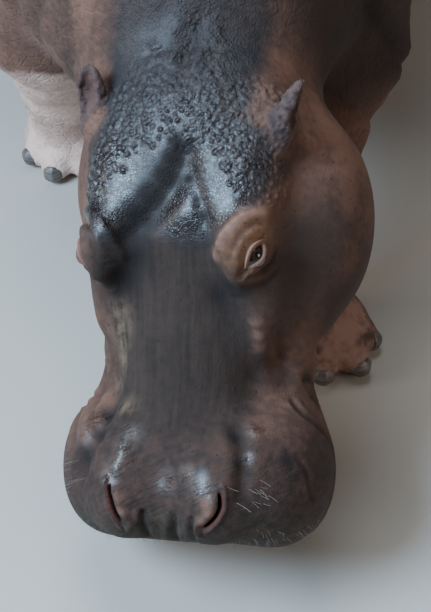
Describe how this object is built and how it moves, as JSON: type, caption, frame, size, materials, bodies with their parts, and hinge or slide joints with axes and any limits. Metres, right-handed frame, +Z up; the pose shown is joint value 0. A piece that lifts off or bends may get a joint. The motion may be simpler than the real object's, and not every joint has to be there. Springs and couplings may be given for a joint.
{
  "type": "hippopotamus model",
  "caption": "Life-size adult hippopotamus walking with its broad head lowered, closed mouth, upright ears and heavy barrel body on short legs.",
  "frame": {"origin": "middle of the overall length and width, at floor level under the soles", "axes": "+Z up, -Y the way the animal faces, +X its left side"},
  "size_m": [1.196, 3.1256, 1.3599],
  "materials": {
    "hide": "wet bare hide, purple-brown above, pink-brown on the cheeks, belly and feet",
    "eye": "wet, dark brown with a black pupil",
    "nail": "dark grey horn with a soft sheen",
    "bristle": "stiff pale bristles"
  },
  "bodies": {
    "root": {"head": "hide", "jaw": "hide", "ear_left": "hide", "ear_right": "hide", "eye_left": "eye", "eye_right": "eye", "neck": "hide", "trunk": "hide", "tail": "hide", "foreleg_left": "hide", "forefoot_left": "hide", "nail_forefoot_left_1": "nail", "nail_forefoot_left_2": "nail", "nail_forefoot_left_3": "nail", "nail_forefoot_left_4": "nail", "foreleg_right": "hide", "forefoot_right": "hide", "nail_forefoot_right_1": "nail", "nail_forefoot_right_2": "nail", "nail_forefoot_right_3": "nail", "nail_forefoot_right_4": "nail", "hindleg_left": "hide", "hindfoot_left": "hide", "nail_hindfoot_left_1": "nail", "nail_hindfoot_left_2": "nail", "nail_hindfoot_left_3": "nail", "nail_hindfoot_left_4": "nail", "hindleg_right": "hide", "hindfoot_right": "hide", "nail_hindfoot_right_1": "nail", "nail_hindfoot_right_2": "nail", "nail_hindfoot_right_3": "nail", "nail_hindfoot_right_4": "nail"}
  },
  "joints": []
}
